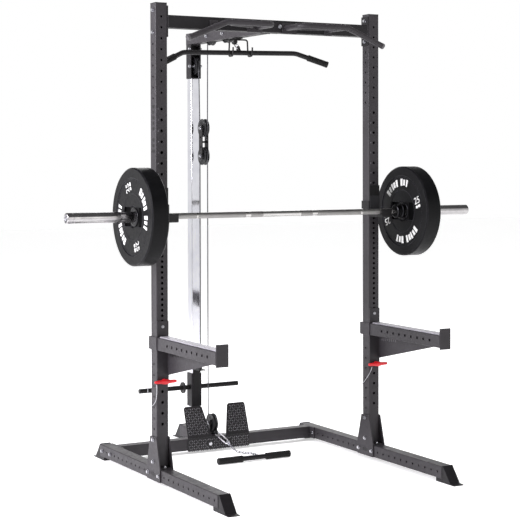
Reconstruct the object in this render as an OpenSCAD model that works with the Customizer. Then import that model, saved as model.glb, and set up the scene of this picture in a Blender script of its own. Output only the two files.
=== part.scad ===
// Half rack with a cable tower, a loaded barbell and a pair of spotter arms.
// X runs along the barbell, +Y to the cable tower at the rear, +Z up.
// The origin is on the floor under the middle of the whole outfit.

/* [Rack] */
// Height of the two uprights' top ends above the floor
rack_h = 2250; // [2230:5:2260]
// Distance between the centre planes of the two uprights
rack_w = 1184; // [1180:2:1200]
// Side of the square steel tube
tube = 60; // [60:1:60]
// Wall of the square steel tube
tube_t = 3; // [2:0.5:4]
// Pitch of the adjustment holes
hole_pitch = 50.8; // [50.8:0.1:50.8]

/* [Feet] */
// Reach of the side foot beams in front of the uprights
foot_front = 645; // [600:5:700]
// Reach of the side foot beams behind the uprights
foot_rear = 650; // [640:5:700]
// Reach of the middle rear foot beam behind the uprights
mid_foot_rear = 944; // [920:4:960]
// Height of the foot beams' undersides above the floor
foot_z = 17; // [12:1:20]

/* [Cable tower] */
// Side of the square chromed guide tube
guide = 50; // [50:1:50]
// Radius of the pulley wheels
wheel_r = 48; // [46:1:49]
// Diameter of the steel cable in its sleeve
cable_d = 6; // [5:0.5:6]

/* [Barbell] */
// Whole length of the barbell
bar_len = 2210; // [2200:10:2210]
// Diameter of the gripping shaft
shaft_d = 28; // [28:0.5:29]
// Diameter of the loading sleeves
sleeve_d = 50; // [49.5:0.1:50]
// Diameter of the bumper plates
plate_d = 450; // [440:5:450]
// Thickness of the bumper plates
plate_t = 85; // [75:5:90]

/* [Spotter arms] */
// Reach of the spotter arms in front of the uprights
arm_reach = 630; // [600:5:650]
// Height of the spotter arms' centre line
arm_z = 661; // [661:1:661]

/* [Hidden] */
$fn = 48;

gap = 0.3;                         // clearance between parts that only touch
half = tube / 2;
col_x = rack_w / 2;                // centre plane of an upright
foot_top = foot_z + tube;
shoe_reach = 95;                   // floor tab of a shoe beyond its beam
front_end = foot_front + shoe_reach;
rear_end = mid_foot_rear + shoe_reach;
rack_y = (front_end - rear_end) / 2;    // uprights' centre plane in the object's frame
flange_t = 5;                      // steel plate of flanges and gussets
bolt_r = 6;
head_r = 8;
head_t = 8;
top_hole_z = rack_h - 62;          // highest adjustment hole
fine_pitch = hole_pitch / 2;
hole_r = 7;
small_hole_r = 5.5;

// Hole numbers counted down from the top in fine pitches
upper_holes = [0:2:14];
rack_holes = [17:2:35];
bench_holes = [37:1:61];
lower_holes = [63:2:75];
side_holes_top = [3:2:15];
side_holes_low = [64:2:76];

beam_z = rack_h - 83;              // centre line of the crossbeam and the boom
beam_bottom = beam_z - half;
boom_end = 850;
tower_y = 825;                     // centre line of the guide tube
head_bottom = 1955;

bar_y = -117;                      // barbell centre line in the cups
cup_hole = 35;                     // hole that the J-cups' lower peg sits in
bar_z = rack_h - 62 - cup_hole * hole_pitch / 2 - 40;
shaft_half = 655;
collar_in = 660;
collar_out = 699;
plate_in = 700;

cross_y = 571;                     // centre line of the rear crossmember
cross_front = cross_y - half;
cross_back = cross_y + half;

groove_r = wheel_r - 4;            // radius of the cable's centre line on a wheel
wheel_t = 22;
axle_r = 6;
top_wheel_z = beam_z;
front_wheel_y = 433;
rear_wheel_y = 612;
head_wheel_y = 805;
head_wheel_z = 2021;
stop_at = [0, 356, 2120];          // middle of the ball that stops the upper cable
block_y = 705;
block_top_z = 1688;
block_low_z = 1540;
low_wheel_y = 617;
low_wheel_z = 136;
carriage_top = 374;
carriage_side = 60;
carriage_bottom = 196;
peg_z = 297;
lift_top = 420;
peg_left = 325;                    // reach of the pegs to either side
peg_right = 263;

lat_y = 292;
lat_z = 2059;
lat_half = 322;
lat_drop = [153, 0, -88];          // from a bend to the bar's end
lat_roll = 46;                     // the bar is rolled back by its hook
lat_tilt = 1.35;                   // and its right side sits a little high

row_x = 39;
row_y = 227;
row_half = 205;

function hole_z(n) = top_hole_z - n * fine_pitch;

// ---------- helpers ----------

// Everything is laid out from the uprights' plane and the floor.
module placed(shade) translate([0, rack_y, 0]) color(shade) children();

// Square with round corners, centred.
module round_square(w, h, r) {
  square([w - 2 * r, h], center = true);
  square([w, h - 2 * r], center = true);
  for (x = [-1, 1], y = [-1, 1])
    translate([x * (w / 2 - r), y * (h / 2 - r)]) circle(r);
}

// Hollow square tube standing on its end.
module box_tube(length, side = tube, wall = tube_t)
  linear_extrude(length) difference() {
    round_square(side, side, 4);
    square(side - 2 * wall, center = true);
  }

// The same tube lying along X or Y, centred on the axis.
module tube_x(length, side = tube, wall = tube_t)
  translate([-length / 2, 0, 0]) rotate([0, 90, 0]) box_tube(length, side, wall);
module tube_y(length, side = tube, wall = tube_t)
  rotate([-90, 0, 0]) box_tube(length, side, wall);

module block(size, at) translate(at) cube(size, center = true);
module rod_x(r, length, at) translate(at) rotate([0, 90, 0]) cylinder(r = r, h = length, center = true);
module rod_y(r, length, at) translate(at) rotate([90, 0, 0]) cylinder(r = r, h = length, center = true);
module rod_z(r, length, at) translate(at) cylinder(r = r, h = length, center = true);

// Hexagon bolt head with its washer, lying on a face whose outward normal is +Z.
module bolt_head() {
  cylinder(r = head_r + 1.5, h = 2);
  translate([0, 0, 2]) cylinder(r = head_r, h = head_t - 2, $fn = 6);
}

// Head on a face that looks along X, and on one that looks along Y.
module head_x(at, way) translate(at) rotate([0, way * 90, 0]) bolt_head();
module head_y(at, way) translate(at) rotate([-way * 90, 0, 0]) bolt_head();

// Straight round bar from a point along a unit direction.
function unit(v) = v / norm(v);
module stick(from, along, r, length)
  translate(from) rotate([0, acos(along.z), atan2(along.y, along.x)]) cylinder(r = r, h = length);

// Swept tube: one ring of points across each route point, turned as little as possible.
function tangent(p, i) = unit(p[min(i + 1, len(p) - 1)] - p[max(i - 1, 0)]);
function square_to(v, t) = unit(v - (v * t) * t);
function carried(p, i, side) =
  i == len(p) ? [] : let (u = square_to(side, tangent(p, i))) concat([u], carried(p, i + 1, u));
function ring(c, t, u, r, n) =
  let (v = cross(u, t)) [for (k = [0 : n - 1]) c + r * (cos(360 * k / n) * u + sin(360 * k / n) * v)];

module swept(p, r, side, n = 8) {
  m = len(p);
  sides = carried(p, 0, side);
  pts = [for (i = [0 : m - 1]) each ring(p[i], tangent(p, i), sides[i], r, n)];
  walls = [for (i = [0 : m - 2], k = [0 : n - 1])
    [i * n + k, i * n + (k + 1) % n, (i + 1) * n + (k + 1) % n, (i + 1) * n + k]];
  ends = [[for (k = [n - 1 : -1 : 0]) k], [for (k = [0 : n - 1]) (m - 1) * n + k]];
  polyhedron(pts, concat(walls, ends), convexity = 6);
}

// Route with each corner rounded to the bend radius in steps.
function rounded(p, bend, steps) =
  concat([p[0]], [for (i = [1 : len(p) - 2]) each corner(p[i - 1], p[i], p[i + 1], bend, steps)],
         [p[len(p) - 1]]);
function corner(a, b, c, bend, steps) =
  let (u = unit(a - b), v = unit(c - b), turn = 180 - acos(u * v), cut = bend * tan(turn / 2),
       middle = b + unit(u + v) * bend / cos(turn / 2),
       from = b + cut * u - middle, to = b + cut * v - middle)
  [for (k = [0 : steps]) let (t = k / steps)
    middle + (sin((1 - t) * turn) * from + sin(t * turn) * to) / sin(turn)];

// Round bar bent through a list of points.
module bent_bar(p, r, bend, side = [0, 0, 1], n = 20) swept(rounded(p, bend, 6), r, side, n);

// Smooth curve through hand-chosen points, s steps a span.
function between(a, b, c, d, t) =
  0.5 * (2 * b + (c - a) * t + (2 * a - 5 * b + 4 * c - d) * t * t
         + (3 * b - 3 * c + d - a) * t * t * t);
function smooth_route(p, s) =
  let (m = len(p))
  concat([for (i = [0 : m - 2], j = [0 : s - 1])
    between(p[max(i - 1, 0)], p[i], p[i + 1], p[min(i + 2, m - 1)], j / s)], [p[m - 1]]);

// Long round-ended wire link whose inside reaches from a to b.
module link(a, b, wide, wire, turn) {
  d = b - a;
  straight = norm(d) - 2 * (wide - wire);
  translate((a + b) / 2) rotate([0, atan2(norm([d.x, d.y]), d.z), atan2(d.y, d.x)]) rotate(turn)
    for (k = [0, 180]) rotate([0, k, 0]) {
      translate([0, 0, straight / 2]) rotate([90, 0, 0])
        rotate_extrude(angle = 180) translate([wide, 0]) circle(wire, $fn = 24);
      translate([wide, 0, -straight / 2]) cylinder(r = wire, h = straight, $fn = 24);
    }
}

// ---------- feet ----------

// Side foot beam with its row of holes in front and behind.
module foot_beam(x) placed("#4b4950")
  difference() {
    translate([x, -foot_front, foot_z + half]) tube_y(foot_front + foot_rear);
    for (n = [2 : 12]) rod_x(small_hole_r, 2 * tube, [x, -n * hole_pitch - 4, foot_z + half]);
    for (n = [2 : 11]) rod_x(small_hole_r, 2 * tube, [x, n * hole_pitch + 12, foot_z + half]);
    for (y = [-58, 58]) rod_x(bolt_r, 2 * tube, [x, y, foot_z + half]);
  }
module left_foot_beam() foot_beam(-col_x);
module right_foot_beam() foot_beam(col_x);

module rear_foot_beam() placed("#4b4950") {
  difference() {
    translate([0, cross_back + flange_t, foot_z + half]) tube_y(mid_foot_rear - cross_back - flange_t);
    rod_z(bolt_r, 3 * tube, [0, 700, foot_z]);
  }
  block([130, flange_t - gap, tube], [0, cross_back + gap + (flange_t - gap) / 2, foot_z + half]);
}

// Sloped end shoe: a closed wedge over the beam's end, a pad under it and a floor tab.
module shoe() {
  rotate([90, 0, 90]) linear_extrude(tube - 4, center = true)
    polygon([[-46, 0], [shoe_reach, 0], [shoe_reach, 3], [64, 5], [60, 12], [8, foot_top + 2],
             [gap, foot_top + 2], [gap, foot_z - gap], [-46, foot_z - gap]]);
}
module foot_shoes() placed("#27262a") {
  for (x = [-col_x, col_x]) {
    translate([x, foot_rear, 0]) shoe();
    translate([x, -foot_front, 0]) rotate(180) shoe();
  }
  translate([0, mid_foot_rear, 0]) shoe();
}

module rear_crossmember() placed("#4b4950") {
  inner = rack_w - tube - 2 * gap;
  difference() {
    union() {
      translate([0, cross_y, foot_z + half]) tube_x(inner - 2 * flange_t);
      for (s = [-1, 1])
        block([flange_t, 142, tube], [s * (inner - flange_t) / 2, cross_y, foot_z + half]);
    }
    for (s = [-1, 1], y = [-50.8, 50.8])
      rod_x(bolt_r, 20, [s * inner / 2, cross_y + y, foot_z + half]);
  }
}

// Tread plate bolted to the crossmember, with two raised foot rests that lean back.
module foot_plate() placed("#5b5a60") {
  t = 4;
  front = cross_front - gap - t;
  rest = [[41, 0], [180, 0], [179, 158], [171, 166], [84, 166], [75, 158]];
  difference() {
    block([360, t, 65], [0, front + t / 2, 45.5]);
    for (x = [-50.8, 50.8]) rod_y(bolt_r, 20, [x, front, 43]);
  }
  for (s = [-1, 1])
    translate([0, front + t, foot_top + gap]) rotate([90 - 19, 0, 0]) linear_extrude(t)
      polygon([for (q = rest) [s * q.x, q.y]]);
}

// ---------- uprights ----------

module upright(x) placed("#454349")
  difference() {
    translate([x, 0, foot_top + flange_t]) box_tube(rack_h - foot_top - flange_t);
    for (n = upper_holes) rod_y(small_hole_r, 2 * tube, [x, 0, hole_z(n)]);
    for (n = rack_holes) rod_y(hole_r, 2 * tube, [x, 0, hole_z(n)]);
    for (n = bench_holes) rod_y(hole_r, 2 * tube, [x, 0, hole_z(n)]);
    for (n = lower_holes) rod_y(hole_r, 2 * tube, [x, 0, hole_z(n)]);
    for (n = side_holes_top) rod_x(small_hole_r, 2 * tube, [x, 0, hole_z(n)]);
    for (n = side_holes_low) rod_x(small_hole_r, 2 * tube, [x, 0, hole_z(n)]);
    for (z = [-52, 52]) rod_x(bolt_r, 2 * tube, [x, 0, beam_z + z]);
    for (z = [105, 208]) rod_x(bolt_r, 2 * tube, [x, 0, z]);
  }
module left_upright() upright(-col_x);
module right_upright() upright(col_x);

// Two side gussets and the plate that they are welded to, under the upright.
module base_bracket(x) placed("#4b4950") {
  difference() {
    for (s = [-1, 1])
      translate([x + s * (half + gap + flange_t / 2), 0, 0])
        rotate([90, 0, 90]) linear_extrude(flange_t, center = true)
          polygon([[-72, foot_z], [72, foot_z], [72, foot_top + 4], [34, 222], [-34, 222],
                   [-72, foot_top + 4]]);
    for (y = [-58, 58]) rod_x(bolt_r, 3 * tube, [x, y, foot_z + half]);
    for (z = [105, 208]) rod_x(bolt_r, 3 * tube, [x, 0, z]);
  }
  difference() {
    block([tube + 2 * gap, 130, flange_t - 2 * gap], [x, 0, foot_top + flange_t / 2]);
    for (y = [-50, 50]) rod_z(bolt_r, 20, [x, y, foot_top]);
  }
}
module left_base_bracket() base_bracket(-col_x);
module right_base_bracket() base_bracket(col_x);

// Bright bolt heads and nuts of everything near the floor.
module base_bolts() placed("#d9d9dc") {
  out = half + gap + flange_t;
  for (x = [-col_x, col_x]) {
    for (w = [-1, 1]) {
      for (y = [-58, 58]) head_x([x + w * out, y, foot_z + half], w);
      for (z = [105, 208]) head_x([x + w * out, 0, z], w);
    }
    for (y = [-50, 50]) translate([x, y, foot_top + flange_t]) bolt_head();
  }
  for (s = [-1, 1], y = [-50.8, 50.8]) {
    head_x([s * (col_x + half), cross_y + y, foot_z + half], s);
    head_x([s * (col_x - half - gap - flange_t), cross_y + y, foot_z + half], -s);
  }
  for (x = [-50.8, 50.8]) head_y([x, cross_front - gap - 4, 43], -1);
}

// ---------- top ----------

module crossbeam() placed("#3b3a3f") {
  inner = rack_w - tube - 2 * gap;
  difference() {
    union() {
      translate([0, 0, beam_z]) tube_x(inner - 2 * flange_t);
      for (s = [-1, 1]) block([flange_t, tube, 146], [s * (inner - flange_t) / 2, 0, beam_z]);
    }
    for (s = [-1, 1], z = [-52, 52]) rod_x(bolt_r, 20, [s * inner / 2, 0, beam_z + z]);
    rod_y(bolt_r, 2 * tube, [45, 0, beam_z]);
    rod_y(bolt_r, 2 * tube, [-45, 0, beam_z]);
  }
}

// Boom from the crossbeam to the tower, slotted for its two pulley wheels.
module boom() placed("#55535a") {
  front = half + gap;
  difference() {
    union() {
      translate([0, front + flange_t, beam_z]) tube_y(boom_end - front - flange_t);
      block([130, flange_t, tube], [0, front + flange_t / 2, beam_z]);
    }
    for (y = [front_wheel_y, rear_wheel_y]) {
      block([wheel_t + 8, 2 * wheel_r + 16, 3 * tube], [0, y, beam_z]);
      rod_x(axle_r + gap, 2 * tube, [0, y, beam_z]);
    }
    block([16, 60, 20], [0, stop_at.y + 24, beam_bottom]);
    for (x = [-45, 45]) rod_y(bolt_r, 60, [x, half, beam_z]);
  }
}

module top_bolts() placed("#d9d9dc") {
  out = half;
  for (x = [-col_x, col_x], z = [-52, 52]) {
    s = sign(x);
    head_x([x + s * out, 0, beam_z + z], s);
    head_x([s * (col_x - half - gap - flange_t), 0, beam_z + z], -s);
  }
  for (x = [-45, 45]) {
    head_y([x, -half, beam_z], -1);
    head_y([x, half + gap + flange_t, beam_z], 1);
  }
  for (s = [-1, 1]) head_x([s * half, tower_y - 19, 2113], s);
}

// Channel between the guide tube and the boom, open to the front for its wheel.
module tower_head() placed("#37363a") {
  plate = 5;
  z0 = head_bottom;
  z1 = beam_bottom - gap;
  difference() {
    block([tube, tube - 5, z1 - z0], [0, tower_y - 2.5, (z0 + z1) / 2]);
    block([tube - 2 * plate, tube, z1 - z0 - 2 * plate], [0, tower_y - 10, (z0 + z1) / 2]);
    rod_x(axle_r + gap, 2 * tube, [0, head_wheel_y, head_wheel_z]);
    block([wheel_t + 2, 20, 60], [0, tower_y + 25, head_wheel_z]);
  }
}

module guide_tube() placed("#e9ebee")
  translate([0, tower_y, foot_top + gap]) box_tube(head_bottom - foot_top - 2 * gap, guide, 2.5);

// Pull-up handle: grip bar with a sloped outer grip and an inner leg, and two braces.
module pullup_handle(s) placed("#4a484e") {
  y = -195;
  z = beam_z - 7;
  face = -half - gap - 4;
  bent_bar([[s * 539, y, z - 84], [s * 330, y, z], [s * 78, y, z], [s * 78, face, z]], 14, 45);
  bent_bar([[s * 322, y + 8, z], [s * 262, -108, z], [s * 134, -66, z], [s * 113, face - 1.5, z]], 9, 30);
  bent_bar([[s * 330, y + 6, z - 3], [s * 318, face, z - 3]], 9, 30);
  block([84, 4, 52], [s * 97, face + 2, z]);
  block([44, 4, 50], [s * 318, face + 2, z - 2]);
}
module left_pullup_handle() pullup_handle(-1);
module right_pullup_handle() pullup_handle(1);

// Plastic plugs in the open ends of the tubes.
module tube_caps() placed("#1d1d20") {
  inner = tube - 2 * tube_t - 0.4;
  for (x = [-col_x, col_x]) {
    block([tube - 1, tube - 1, 3], [x, 0, rack_h + 1.5 + gap]);
    block([inner, inner, 20], [x, 0, rack_h - 10 + gap]);
  }
  block([tube - 1, 3, tube - 1], [0, boom_end + 1.5 + gap, beam_z]);
  block([inner, 20, inner], [0, boom_end - 10 + gap, beam_z]);
}

// Bent rod that parks the lat bar: a hanger under the boom with two upturned hooks.
module lat_bar_rest() placed("#3a393d") {
  r = 4;
  x = 55;
  top = beam_bottom - 10;
  back = lat_y + 21;
  for (s = [-1, 1]) {
    low = lat_z + s * x * tan(lat_tilt) - 12.5 - r - gap;
    bent_bar([[0, back, top], [s * (x - 4), back, top], [s * x, back, low],
              [s * x, lat_y - 23, low], [s * x, lat_y - 25, low + 44]], r, 12, [0, 0, 1], 12);
  }
  block([34, 30, 5], [0, back, beam_bottom - gap - 2.5]);
  block([16, 8, 12], [0, back, top + 1.5]);
}

// ---------- cables and pulleys ----------

// Grooved wheel on its bearing, axle along X.
module wheel(y, z) placed("#232226")
  translate([0, y, z]) rotate([90, 0, 90])
    rotate_extrude()
      polygon([[axle_r + 0.05, -11], [15, -11], [16, -8], [wheel_r - 9, -8], [wheel_r - 3, -11],
               [wheel_r, -11], [wheel_r, -8.5], [groove_r - 3.4, -3], [groove_r - 3.4, 3],
               [wheel_r, 8.5], [wheel_r, 11], [wheel_r - 3, 11], [wheel_r - 9, 8], [16, 8],
               [15, 11], [axle_r + 0.05, 11]]);
module front_top_wheel() wheel(front_wheel_y, top_wheel_z);
module rear_top_wheel() wheel(rear_wheel_y, top_wheel_z);
module tower_head_wheel() wheel(head_wheel_y, head_wheel_z);
module block_upper_wheel() wheel(block_y, block_top_z);
module block_lower_wheel() wheel(block_y, block_low_z);
module low_wheel() wheel(low_wheel_y, low_wheel_z);

// Bolts that the wheels turn on, with their heads and nuts.
module axle(y, z, span) {
  rod_x(axle_r, span, [0, y, z]);
  for (w = [-1, 1]) head_x([w * span / 2, y, z], w);
}
module pulley_axles() placed("#d4d5d8") {
  axle(front_wheel_y, top_wheel_z, tube + 2 * gap);
  axle(rear_wheel_y, top_wheel_z, tube + 2 * gap);
  axle(head_wheel_y, head_wheel_z, tube + 2 * gap);
  axle(block_y, block_top_z, 38 + 2 * gap);
  axle(block_y, block_low_z, 38 + 2 * gap);
  axle(low_wheel_y, low_wheel_z, 44 + 2 * gap);
}

// Two straps that hold the floating pair of wheels, with a spacer stud.
module block_plates() placed("#66656b") {
  for (s = [-1, 1]) difference() {
    translate([s * 17, block_y, 0]) rotate([90, 0, 90]) linear_extrude(4, center = true) {
      translate([0, (block_top_z + block_low_z) / 2])
        square([38, block_top_z - block_low_z], center = true);
      for (z = [block_top_z, block_low_z]) translate([0, z]) circle(19);
    }
    for (z = [block_top_z, block_low_z]) rod_x(axle_r + gap, 60, [0, block_y, z]);
  }
  rod_x(5, 30, [0, block_y, 1614]);
  for (s = [-1, 1], z = [1588, 1640]) rod_x(5, 4, [s * 21, block_y, z]);
}

// Fork that holds the low wheel on the rear foot beam.
module low_pulley_bracket() placed("#2f2e32") {
  top = foot_top + gap;
  difference() {
    union() {
      block([56, 70, 5], [0, low_wheel_y + 26, top + 2.5]);
      for (s = [-1, 1])
        translate([s * 19.5, low_wheel_y, 0]) rotate([90, 0, 90]) linear_extrude(5, center = true)
          polygon([[-9, top], [61, top], [61, top + 12], [18, 152], [-18, 152], [-18, top + 34]]);
    }
    rod_x(axle_r + gap, 80, [0, low_wheel_y, low_wheel_z]);
  }
}

// Arc of the cable round a wheel, from angle a to angle b in the Y-Z plane.
function wrap(y, z, a, b, n) =
  [for (i = [0 : n]) let (t = a + (b - a) * i / n)
    [0, y + groove_r * cos(t), z + groove_r * sin(t)]];

module upper_cable() placed("#3b3b3f") {
  r = cable_d / 2;
  swept(concat([stop_at + [0, 7, 12]], wrap(front_wheel_y, top_wheel_z, 150, 90, 5),
               wrap(rear_wheel_y, top_wheel_z, 90, 0, 7),
               wrap(block_y, block_top_z, 180, 360, 14),
               wrap(head_wheel_y, head_wheel_z, 180, 50, 10)), r, [1, 0, 0]);
}

// Rubber ball that stops the upper cable at its front wheel.
module cable_stop() placed("#1c1c1e")
  difference() {
    translate(stop_at) sphere(16);
    stick(stop_at - [0, 12, 20], unit([0, 1, 1.73]), cable_d / 2 + 0.6, 60);
  }

module lower_cable() placed("#3b3b3f") {
  r = cable_d / 2;
  swept(concat([[0, 576, low_wheel_z - groove_r]], wrap(low_wheel_y, low_wheel_z, -90, 0, 7),
               wrap(block_y, block_low_z, 180, 0, 14)), r, [1, 0, 0]);
}

// Straight run that shortens as the carriage rises.
module carriage_cable() placed("#3b3b3f")
  rod_z(cable_d / 2, block_low_z - lift_top - 2 * gap,
        [0, block_y + groove_r, (block_low_z + lift_top) / 2]);

// ---------- weight carriage ----------

module carriage() placed("#35343a") {
  h = carriage_top - carriage_bottom;
  difference() {
    translate([0, tower_y, carriage_bottom]) box_tube(h, carriage_side, 3);
    rod_x(12.5 + gap, 120, [0, tower_y, peg_z]);
  }
}

module weight_pegs() placed("#2a292d") {
  root = carriage_side / 2 - 3 + gap;
  rod_x(12.5, peg_left - root, [-(root + peg_left) / 2, tower_y, peg_z]);
  rod_x(12.5, peg_right - root, [(root + peg_right) / 2, tower_y, peg_z]);
  rod_x(30, 8, [-68, tower_y, peg_z]);
  rod_x(15, 2, [carriage_side / 2 + gap + 1, tower_y, peg_z]);
}

// Plastic glides between the carriage and the chromed tube.
module carriage_liners() placed("#e8e6df")
  for (z = [carriage_bottom + 2, carriage_top - 32])
    translate([0, tower_y, z]) linear_extrude(30) difference() {
      square(carriage_side - 6 - 2 * gap, center = true);
      square(guide + 0.4, center = true);
    }

// Strap from the carriage up to the cable's end.
module lift_plate() placed("#8d8c90") {
  front = tower_y - carriage_side / 2 - gap;
  block([40, 5, lift_top - 20 - carriage_bottom - 110],
        [0, front - 2.5, (lift_top - 20 + carriage_bottom + 110) / 2]);
  block([40, front - block_y - groove_r + 22, 5],
        [0, (front + block_y + groove_r - 22) / 2, lift_top - 22.5]);
  rod_z(8, 20, [0, block_y + groove_r, lift_top - 10]);
}

// ---------- lat bar and row bar ----------

module lat_pose() translate([0, lat_y, lat_z]) rotate([0, -lat_tilt, 0]) rotate([-lat_roll, 0, 0])
  children();

module lat_bar() placed("#2b2a2e") lat_pose() {
  bend = [lat_half, 0, 0];
  end = bend + lat_drop;
  bent_bar([[-end.x, 0, end.z], -bend, bend, end], 12.5, 70, [0, 1, 0], 24);
  translate([0, 0, 10]) rotate([90, 0, 90]) linear_extrude(8, center = true) difference() {
    union() {
      translate([-9, -4]) square([18, 18]);
      translate([0, 22]) circle(14);
    }
    translate([0, 22]) circle(7);
  }
}

module lat_bar_grips() placed("#1b1b1d") lat_pose()
  for (s = [-1, 1]) {
    along = unit([-s * lat_drop.x, 0, -lat_drop.z]);
    tip = [s * (lat_half + lat_drop.x), 0, lat_drop.z] - 3.2 * along;
    difference() {
      stick(tip, along, 16.5, 112);
      stick(tip + 3 * along, along, 12.6, 112);
    }
  }

// Spring hook between the ball stop and the lat bar's eye.
module lat_bar_hook() placed("#c9cacd") {
  eye = [0, lat_y + 32 * sin(lat_roll), lat_z + 32 * cos(lat_roll)];
  along = unit(stop_at - eye);
  link(eye + 5 * along, eye + 33 * along, 10, 2.5, 90);
}

row_eye = [row_x, row_y + 28, 17];
module row_bar() placed("#2b2a2e") {
  rod_x(12.5, 2 * row_half - 4, [row_x, row_y, 17]);
  translate([row_eye.x, row_eye.y - 6, row_eye.z]) linear_extrude(4, center = true) difference() {
    union() {
      translate([0, 6]) circle(14);
      translate([-18, -14]) square([36, 12]);
    }
    translate([0, 6]) circle(7);
  }
}

module row_bar_grips() placed("#1b1b1d")
  for (s = [-1, 1])
    translate([row_x + s * (row_half + 2), row_y, 17]) rotate([0, -s * 90, 0])
      difference() {
        cylinder(r = 17, h = 140);
        translate([0, 0, 4]) cylinder(r = 12.6, h = 140);
      }

// Chain from the low cable's ball stop down to the floor and along it to the row bar.
chain_points = [[0, 561, 89], [0, 526, 83], [8, 489, 67], [24, 452, 40], [44, 428, 13],
                [72, 402, 7], [98, 368, 7], [104, 324, 7], [87, 289, 9], [56, 265, 16]];
chain_route = smooth_route(chain_points, 3);
module row_chain() placed("#b9babd") {
  for (i = [0 : len(chain_route) - 2]) {
    a = chain_route[i];
    b = chain_route[i + 1];
    link(a - 0.6 * unit(b - a), b + 0.6 * unit(b - a), 4.4, 1.7, 90 * (i % 2) + 45);
  }
  last = unit([17, 10, 0]);
  link(row_eye + 19 * last, row_eye + 6.6 * last, 4.4, 1.7, 0);
  difference() {
    translate([0, 571, low_wheel_z - groove_r]) sphere(12);
    rod_y(cable_d / 2 + 0.1, 20, [0, 580, low_wheel_z - groove_r]);
  }
}

// ---------- J-cups and spotter arms ----------

module jcup(x) placed("#2c2b2f") {
  face = -half - gap;
  floor_z = bar_z - shaft_d / 2 - 5 - 2 * gap;
  translate([x, 0, 0]) rotate([90, 0, 90]) linear_extrude(tube, center = true)
    polygon([[face, floor_z - 9], [face, bar_z + 130], [face - 6, bar_z + 130], [face - 6, floor_z],
             [bar_y - 24, floor_z], [bar_y - 24, bar_z + 13], [bar_y - 30, bar_z + 13],
             [bar_y - 30, floor_z - 4], [bar_y - 25, floor_z - 9]]);
  for (z = [hole_z(cup_hole), hole_z(cup_hole - 2)])
    rod_y(6, 26, [x, face + 13, z]);
  s = -sign(x);
  block([5, tube + 6, 40], [x + s * (half + gap + 2.5), -3, bar_z + 31]);
  block([tube / 2, 5, 40], [x + s * (half / 2 + 5), face - 2.5, bar_z + 31]);
}
module left_jcup() jcup(-col_x);
module right_jcup() jcup(col_x);

module jcup_liners() placed("#3c3b40")
  for (x = [-col_x, col_x]) {
    floor_z = bar_z - shaft_d / 2 - 5 - 2 * gap;
    face = -half - gap - 6;
    block([tube - 4, face - bar_y + 24 - 1, 5], [x, (face + bar_y - 24) / 2, floor_z + 2.5 + gap]);
    block([tube - 4, 4, 90], [x, face - 2 - gap, floor_z + 52]);
  }

// Spotter arm: beam, end stop, web under it, and the bracket that hugs the upright.
module spotter_arm(x) placed("#55545b") {
  face = -half - gap;
  t = 5;
  front = -arm_reach;
  z0 = arm_z - half;
  difference() {
    translate([x, front, arm_z]) tube_y(arm_reach + face - t);
    for (n = [0 : 8]) rod_x(hole_r, 2 * tube, [x, -143 - n * hole_pitch, arm_z]);
  }
  block([tube, t, 99], [x, front - t / 2, arm_z + 11.5]);
  difference() {
    block([tube, t, 292], [x, face - t / 2, 620]);
    rod_y(hole_r, 40, [x, face, hole_z(67)]);
    rod_y(hole_r, 40, [x, face, hole_z(57)]);
  }
  for (s = [-1, 1]) {
    block([4, 85, tube], [x + s * (half + gap + 2), 5, arm_z]);
    block([4 + 2 * gap, 6, tube], [x + s * (half + gap / 2), face - 3, arm_z]);
  }
  translate([x + half - 2, 0, 0]) rotate([90, 0, 90]) linear_extrude(4, center = true)
    polygon([[face - t, z0 + 6], [-540, z0 + 6], [-530, z0 - 6], [face - t, 512]]);
  block([tube + 2 * gap + 8, 5, tube], [x, half + 4 * gap + 13, arm_z]);
}
module left_spotter_arm() spotter_arm(-col_x);
module right_spotter_arm() spotter_arm(col_x);

module spotter_pads() placed("#c9c7cf")
  for (x = [-col_x, col_x])
    block([48, arm_reach - 50, 5], [x, -(arm_reach + 48) / 2, arm_z + half + 2.5 + gap]);

// Pull pin: steel shank through the bracket into the upright, and a T handle.
module pull_pin(x) placed("#d21f2b") {
  z = hole_z(67);
  rod_y(6.5, 62, [x, -43, z]);
  rod_y(12, 14, [x, -50, z]);
  rod_y(9, 10, [x, -60, z]);
  for (s = [-1, 1]) translate([x, -66, z]) rotate([0, s * 90, 0]) cylinder(r1 = 10, r2 = 7, h = 50);
  for (s = [-1, 1]) translate([x + s * 50, -66, z]) sphere(7);
}
module left_pull_pin() pull_pin(-col_x);
module right_pull_pin() pull_pin(col_x);

// Steel lanyards from the pins' handles round the uprights to the brackets' back plates.
left_lanyard_points = [[-640, -68, 476], [-638, -66, 455], [-634, -56, 430], [-630, -40, 402],
                       [-629, -18, 380], [-629, 8, 366], [-629, 32, 366], [-628, 50, 382],
                       [-627, 58, 410], [-626, 60, 450], [-625, 60, 500], [-622, 59, 550],
                       [-617, 56, 600], [-612, 50, 636]];
right_lanyard_points = [[553, -70, 474], [555, -60, 460], [557, -40, 436], [557, -16, 412],
                        [557, 8, 390], [557, 30, 376], [558, 48, 380], [559, 58, 404],
                        [560, 61, 440], [561, 62, 485], [563, 61, 530], [566, 58, 575],
                        [570, 54, 612], [574, 50, 640]];
module lanyard(points) placed("#d5d6d9") swept(smooth_route(points, 4), 1.5, [1, 0, 0]);
module left_lanyard() lanyard(left_lanyard_points);
module right_lanyard() lanyard(right_lanyard_points);

// ---------- barbell ----------

module bar_shaft() placed("#c9cacd") {
  rod_x(shaft_d / 2, 2 * shaft_half, [0, bar_y, bar_z]);
  for (s = [-1, 1])
    rod_x(12, bar_len / 2 - 8 - shaft_half, [s * (shaft_half + bar_len / 2 - 8) / 2, bar_y, bar_z]);
}

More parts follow.
